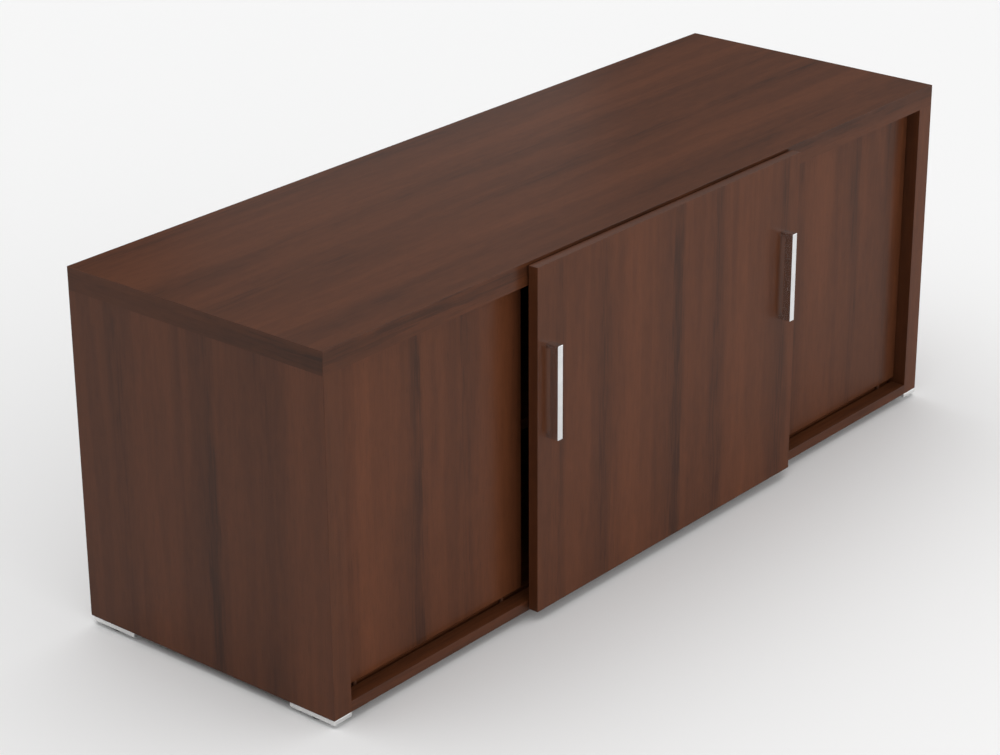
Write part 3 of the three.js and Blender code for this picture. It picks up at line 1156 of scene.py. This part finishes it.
@dataclass
class Track(Assembly):
    """The double track under the top panel, its screws and its centre stop."""

    body: str = "carcass"
    channel_offset: float = 10.0 * MM
    channel_half: float = 6.75 * MM
    slot_half: float = 2.5 * MM
    lip: float = 1.5 * MM
    roof: float = 1.25 * MM
    arris: float = 0.2 * MM
    stop_arris: float = 0.8 * MM
    screw_radius: float = 2.2 * MM
    screw_count: int = 7

    def build(self) -> None:
        """Makes the track, the screws and the stop."""
        low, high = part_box("top_track")
        middle = middle_of("top_track").y
        outline = self._channel(-1, middle, low, high) + self._channel(1, middle, low, high)[::-1]
        outline += [(high.y, high.z), (low.y, high.z)]
        shaper = Shaper()
        shaper.prism(outline, low.x, high.x)
        shaper.arris(self.arris, 1, sharp)
        shaper.piece("top_track_drawn", [self.finishes.track], self.body, ["top_track"])

        shares = [(i + 0.5) / self.screw_count for i in range(self.screw_count)]
        seats = [Vector((low.x + (high.x - low.x) * share, middle, low.z)) for share in shares]
        self.screws("top_track_screws", self.body, seats, Face.UNDER, self.screw_radius)

        stop = Shaper()
        stop.bar(*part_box("track_centre_stop"))
        stop.arris(self.stop_arris, 3, sharp)
        stop.piece(
            "track_centre_stop_moulded",
            [self.finishes.guide],
            self.body,
            ["track_centre_stop"],
        )

    def _channel(
        self, sign: int, middle: float, low: Vector, high: Vector
    ) -> list[tuple[float, float]]:
        """Half of the track's outline, from the outer lip of one channel inwards.

        Args:
            sign: -1 for the front channel, 1 for the rear one.
            middle: the depth of the track's middle.
            low: the track's lowest corner.
            high: its highest corner.

        Returns:
            The corners, as depth and height.
        """
        roof = high.z - self.roof
        lip = low.z + self.lip
        outer = (high.y - low.y) / 2
        steps = [
            (outer, low.z),
            (self.channel_offset + self.slot_half, low.z),
            (self.channel_offset + self.slot_half, lip),
            (self.channel_offset + self.channel_half, lip),
            (self.channel_offset + self.channel_half, roof),
            (self.channel_offset - self.channel_half, roof),
            (self.channel_offset - self.channel_half, lip),
            (self.channel_offset - self.slot_half, lip),
            (self.channel_offset - self.slot_half, low.z),
        ]
        return [(middle + sign * offset, height) for offset, height in steps]


@dataclass
class Roller(Assembly):
    """A hanger on a door with the wheelset that it carries in the track."""

    name: str
    door: str
    wheels: str
    on_back: bool
    sheet: float = 2.0 * MM
    stem: float = 4.0 * MM
    arm_drop: float = 3.0 * MM
    arris: float = 0.35 * MM
    screw_radius: float = 3.2 * MM
    screw_level: float = 0.36
    screw_spread: float = 9.0 * MM
    foot_screw_radius: float = 1.9 * MM
    foot_screw_inset: float = 4.5 * MM
    axle_radius: float = 1.5 * MM
    wheel_inner: float = 3.0 * MM
    sides: int = 48

    def build(self) -> None:
        """Makes the hanger, its screws and the wheelset."""
        self._hanger()
        self._screws()
        self._wheelset()

    def _hanger(self) -> None:
        """The bent or upright sheet-metal hanger."""
        node = self.name + "_hanger"
        low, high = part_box(node)
        channel = middle_of(self.name + "_wheelset").y
        half = self.stem / 2
        if self.on_back:
            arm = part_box("top_track")[0].z - self.arm_drop
            outline = [
                (low.y, low.z),
                (low.y + self.sheet, low.z),
                (low.y + self.sheet, arm - self.sheet),
                (channel + half, arm - self.sheet),
                (channel + half, high.z),
                (channel - half, high.z),
                (channel - half, arm),
                (low.y, arm),
            ]
        else:
            foot = low.z + self.sheet
            outline = [
                (low.y, low.z),
                (high.y, low.z),
                (high.y, foot),
                (channel + half, foot),
                (channel + half, high.z),
                (channel - half, high.z),
                (channel - half, foot),
                (low.y, foot),
            ]
        shaper = Shaper()
        shaper.prism(outline, low.x, high.x)
        shaper.arris(self.arris, 2, sharp)
        shaper.piece(node + "_pressed", [self.finishes.fitting], self.door, [node])

    def _screws(self) -> None:
        """The two screws that hold the hanger to its door."""
        low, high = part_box(self.name + "_hanger")
        middle = middle_of(self.name + "_hanger")
        out = Face.BACK if self.on_back else Face.OVER
        radius = self.screw_radius if self.on_back else self.foot_screw_radius
        seats = []
        for side in (-1, 1):
            seat = Vector((middle.x + side * self.screw_spread, 0.0, 0.0))
            if self.on_back:
                seat.y = low.y + self.sheet
                seat.z = low.z + (high.z - low.z) * self.screw_level
            else:
                seat.y = middle.y + side * self.foot_screw_inset
                seat.z = low.z + self.sheet
            seats.append(seat)
        self.screws(self.name + "_hanger_screws", self.door, seats, out, radius)

    def _wheelset(self) -> None:
        """Two nylon wheels on a steel axle."""
        node = self.name + "_wheelset"
        low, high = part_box(node)
        middle = middle_of(node)
        radius = (high.z - low.z) / 2
        reach = (high.y - low.y) / 2
        axle = self.axle_radius
        shaper = Shaper()
        # The axle's domed end, in shares of its radius
        dome = [(0.0, 0.0), (0.6, 0.04), (0.9, 0.12), (1.0, 0.3)]
        start = [Ring(axle * share, -reach + axle * rise) for share, rise in dome]
        end = [Ring(ring.radius, -ring.along) for ring in reversed(start)]
        shaper.turned(start + end, middle, Face.BACK, self.sides)
        width = reach - self.wheel_inner
        # A wheel's section, in shares of its radius and its width
        profile = [
            (0.26, 0.0), (0.46, 0.0), (0.47, 0.14), (0.78, 0.14), (0.79, 0.0), (0.92, 0.0),
            (0.98, 0.07), (1.0, 0.2), (1.0, 0.8), (0.98, 0.93), (0.92, 1.0), (0.79, 1.0),
            (0.78, 0.86), (0.47, 0.86), (0.46, 1.0), (0.26, 1.0),
        ]
        for sign in (-1, 1):
            rings = [
                Ring(radius * share, sign * (self.wheel_inner + width * along))
                for share, along in profile
            ]
            shaper.turned(rings, middle, Face.BACK, self.sides, material=1, closed=True)
        materials = [self.finishes.fitting, self.finishes.nylon]
        shaper.piece(node + "_turned", materials, self.wheels, [node])


@dataclass
class Handle(Assembly):
    """A bar handle, polished, with rougher sides whose darker colour is painted shade, on two short
    legs with screws from behind the door.
    """

    name: str
    body: str = "centre_door"
    bar: float = 16.0 * MM
    leg: float = 8.0 * MM
    arris: float = 0.6 * MM

    def build(self) -> None:
        """Makes the bar with its legs, and the screws."""
        low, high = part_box(self.name)
        outline = [
            (low.y, low.z),
            (high.y, low.z),
            (high.y, low.z + self.leg),
            (low.y + self.bar, low.z + self.leg),
            (low.y + self.bar, high.z - self.leg),
            (high.y, high.z - self.leg),
            (high.y, high.z),
            (low.y, high.z),
        ]
        shaper = Shaper()
        shaper.prism(outline, low.x, high.x)
        shaper.arris(self.arris, 3, sharp)
        # The sides take the darker copy of the metal, as painted shade
        shaper.repaint(Axis.X, 1)
        materials = [self.finishes.handle, self.finishes.handle_shaded_side]
        made = shaper.piece(self.name + "_bar", materials, self.body, [self.name])
        # So slim a bar dims the door behind it only a little
        made.visible_diffuse = False
        for level in ("lower", "upper"):
            self._screw(f"{self.name}_screw_{level}")

    def _screw(self, node: str) -> None:
        """A machine screw, of which the head shows on the door's back.

        Args:
            node: the screw's node.
        """
        low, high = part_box(node)
        door_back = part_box("centre_door")[1].y
        middle = middle_of(node)
        seat = Vector((middle.x, door_back, middle.z))
        radius = (high.x - low.x) / 2
        self.screws(node + "_headed", self.body, [seat], Face.BACK, radius, [node])


@dataclass
class LowerGuide(Assembly):
    """A moulded guide on the centre door's back, with a peg under the bottom panel."""

    node: str
    body: str = "centre_door"
    sheet: float = 2.0 * MM
    peg_radius: float = 3.0 * MM
    peg_inset: float = 4.0 * MM
    peg_top: float = 19.0 * MM
    peg_tip: float = 0.8 * MM
    peg_crown: float = 0.25 * MM
    arris: float = 0.5 * MM
    screw_radius: float = 2.8 * MM
    screw_spread: float = 9.0 * MM
    screw_drop: float = 7.0 * MM
    sides: int = 32

    def build(self) -> None:
        """Makes the guide and its screws."""
        low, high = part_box(self.node)
        middle = middle_of(self.node)
        outline = [
            (low.y, low.z),
            (high.y, low.z),
            (high.y, low.z + self.sheet),
            (low.y + self.sheet, low.z + self.sheet),
            (low.y + self.sheet, high.z),
            (low.y, high.z),
        ]
        shaper = Shaper()
        shaper.prism(outline, low.x, high.x)
        shaper.arris(self.arris, 2, sharp)
        foot = Vector((middle.x, high.y - self.peg_inset, low.z + self.sheet / 2))
        length = self.peg_top - foot.z
        radius = self.peg_radius
        rings = [Ring(0.0, 0.0), Ring(radius, 0.0), Ring(radius, length - self.peg_tip)]
        rings += [Ring(radius * 0.9, length - self.peg_crown), Ring(radius * 0.7, length)]
        shaper.turned(rings + [Ring(0.0, length)], foot, Face.OVER, self.sides)
        shaper.piece(
            self.node + "_moulded", [self.finishes.guide], self.body, [self.node]
        )
        level = high.z - self.screw_drop
        spread = (-self.screw_spread, self.screw_spread)
        seats = [Vector((middle.x + offset, low.y + self.sheet, level)) for offset in spread]
        self.screws(self.node + "_screws", self.body, seats, Face.BACK, self.screw_radius)


@dataclass
class GuidePeg(Assembly):
    """A moulded peg under an inner door, which runs in the bottom panel's groove."""

    node: str
    body: str
    flange: float = 2.0 * MM
    pin_share: float = 0.6
    tip: float = 0.9 * MM
    crown: float = 0.25 * MM
    sides: int = 32

    def build(self) -> None:
        """Makes the peg."""
        low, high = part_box(self.node)
        middle = middle_of(self.node)
        wide = (high.x - low.x) / 2
        pin = wide * self.pin_share
        height = high.z - low.z
        rings = [
            Ring(0.0, 0.0),
            Ring(pin * 0.72, 0.0),
            Ring(pin * 0.92, self.crown),
            Ring(pin, self.tip),
            Ring(pin, height - self.flange),
            Ring(wide * 0.94, height - self.flange),
            Ring(wide, height - self.flange * 0.8),
            Ring(wide, height),
            Ring(0.0, height),
        ]
        shaper = Shaper()
        base = Vector((middle.x, middle.y, low.z))
        shaper.turned(rings, base, Face.OVER, self.sides)
        shaper.piece(
            self.node + "_moulded", [self.finishes.guide], self.body, [self.node]
        )


DOOR_EDGES = (Face.LEFT, Face.RIGHT, Face.OVER, Face.UNDER)


@dataclass
class CentreDoor(Assembly):
    """The door that hangs in front of the carcass, with its handles, hangers and guides."""

    body: str = "centre_door"

    def build(self) -> None:
        """Makes the leaf and all that it carries."""
        Board(self.finishes, "centre_door", self.body, WalnutDecor(Axis.Z, 0.2745), DOOR_EDGES).build()
        for side in ("left", "right"):
            Handle(self.finishes, side + "_handle").build()
            name = "centre_door_" + side
            Roller(self.finishes, name, self.body, f"centre_{side}_wheels", on_back=True).build()
            LowerGuide(self.finishes, name + "_guide").build()


@dataclass
class InnerDoor(Assembly):
    """A recessed door with two rollers above and two pegs below."""

    side: str
    main_at: float

    def build(self) -> None:
        """Makes the leaf and all that it carries."""
        body = self.side + "_inner_door"
        Board(self.finishes, body, body, WalnutDecor(Axis.Z, self.main_at), DOOR_EDGES).build()
        for end in ("outer", "inner"):
            wheels = f"{self.side}_{end}_wheels"
            Roller(self.finishes, f"{body}_{end}", body, wheels, on_back=False).build()
            GuidePeg(self.finishes, f"{body}_{end}_peg", body).build()


@dataclass
class Studio:
    """The pale floor, the soft light and the camera."""

    eye: tuple[float, float, float] = (-3.3899, -2.7384, 2.1131)
    aim_degrees: tuple[float, float, float] = (66.699, 0.291, -50.121)
    lens_mm: float = 100.4
    sensor_mm: float = 36.0
    floor_half: float = 60.0
    floor_drop: float = 0.1 * MM
    floor_colour: Colour = (0.9, 0.9, 0.9, 1.0)
    # Painted shade: the floor's colour darkens near the boards, by how open the sky is within
    # contact_reach
    painted_contact_shade: Colour = (0.63, 0.63, 0.63, 1.0)
    contact_reach: float = 40.0 * MM
    contact_inner: tuple[float, float] = (0.16, 0.32)
    contact_outer: tuple[float, float] = (0.68, 0.42)
    contact_samples: int = 12
    sky_low: float = 0.53
    sky_rise: float = 0.7
    sky_least: float = 0.05
    sky_seen: float = 1.0
    bright_side: tuple[float, float, float] = (1.6, -2.6, 0.0)
    bright_fade: float = 1.7
    sheen_from: tuple[float, float, float] = (2.19, 2.453, 0.88)
    sheen_onto: tuple[float, float, float] = (1.733, 1.564, 0.55)
    sheen_size: tuple[float, float] = (1.25, 1.82)
    sheen_strength: float = 1.05

    def build(self) -> None:
        """Sets up the stage."""
        self._camera()
        self._floor()
        self._sky()
        self._sheen()
        bpy.context.scene.view_settings.view_transform = "Standard"

    def _camera(self) -> None:
        """The camera at the photograph's viewing angle."""
        data = bpy.data.cameras.new("studio_camera")
        data.sensor_fit = "HORIZONTAL"
        data.sensor_width = self.sensor_mm
        data.lens = self.lens_mm
        data.clip_end = 4.0 * self.floor_half
        camera = bpy.data.objects.new("studio_camera", data)
        camera.location = self.eye
        camera.rotation_euler = [math.radians(angle) for angle in self.aim_degrees]
        bpy.context.scene.collection.objects.link(camera)
        bpy.context.scene.camera = camera

    def _floor(self) -> None:
        """A wide pale floor just under the glides, with painted shade that darkens its colour where it
        comes out from under the boards.
        """
        graph, material = Graph.surface("studio_floor")
        grain = graph.noise(graph.place(), 400.0, detail=2.0)
        open_sky = graph.node(
            "AmbientOcclusion",
            {"samples": self.contact_samples},
            {"Distance": self.contact_reach},
            output="AO",
        )
        # Painted shade in a band round the base: none where the sky is most shut, fading out as it
        # opens
        inner = graph.step(open_sky, *self.contact_inner)
        outer = graph.step(open_sky, *self.contact_outer)
        graph.principled(
            Base_Color=graph.mix(inner * outer, self.floor_colour, self.painted_contact_shade),
            Roughness=0.85 + (grain - 0.5) * 0.1,
            Specular_IOR_Level=0.0,
        )
        half = self.floor_half
        corners = [(-half, -half), (half, -half), (half, half), (-half, half)]
        mesh = bpy.data.meshes.new("studio_floor")
        mesh.from_pydata([(x, y, -self.floor_drop) for x, y in corners], [], [(0, 1, 2, 3)])
        mesh.materials.append(material)
        floor = bpy.data.objects.new("studio_floor", mesh)
        bpy.context.scene.collection.objects.link(floor)

    def _sky(self) -> None:
        """Soft light from all round, low down strongest from the front; the eye sees it as white."""
        world = bpy.data.worlds.new("studio_sky")
        world.use_nodes = True
        graph = Graph(world.node_tree)
        way = graph.node("TexCoord", output="Generated")
        side = graph.dot(way, self.bright_side)
        height = graph.dot(way, Axis.Z.unit())
        light = self.sky_low + height * self.sky_rise + side * (1.0 - height * self.bright_fade)
        light = graph.math("MAXIMUM", light, self.sky_least)
        seen = graph.node("LightPath", output="Is Camera Ray")
        seen = graph.math("MAXIMUM", seen, graph.node("LightPath", output="Is Transmission Ray"))
        strength = light + seen * (self.sky_seen - light)
        sky = graph.node("Background", {}, {"Color": WHITE, "Strength": strength})
        graph.node("OutputWorld", {}, {"Surface": sky})
        bpy.context.scene.world = world

    def _sheen(self) -> None:
        """A soft panel behind the credenza, which only shows as a sheen on the top panel."""
        width, height = self.sheen_size
        data = bpy.data.lights.new("studio_sheen", "AREA")
        data.shape = "RECTANGLE"
        data.size = width
        data.size_y = height
        data.energy = self.sheen_strength * math.pi * width * height
        lamp = bpy.data.objects.new("studio_sheen", data)
        lamp.location = self.sheen_from
        back = Vector(self.sheen_from) - Vector(self.sheen_onto)
        lamp.rotation_euler = back.to_track_quat("Z", "Y").to_euler()
        lamp.visible_camera = False
        lamp.visible_diffuse = False
        bpy.context.scene.collection.objects.link(lamp)


def main() -> None:
    """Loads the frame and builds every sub-assembly in order."""
    logging.basicConfig(level=logging.INFO, format="%(name)s: %(message)s")
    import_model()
    Studio().build()
    finishes = Finishes()
    assemblies = [
        Carcass(finishes),
        ShelfPins(finishes),
        Feet(finishes),
        Track(finishes),
        CentreDoor(finishes),
        InnerDoor(finishes, "left", -0.3625),
        InnerDoor(finishes, "right", 0.8215),
    ]
    for assembly in assemblies:
        assembly.build()
        LOG.info("%s is built", type(assembly).__name__)
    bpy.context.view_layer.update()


if __name__ == "__main__":
    main()
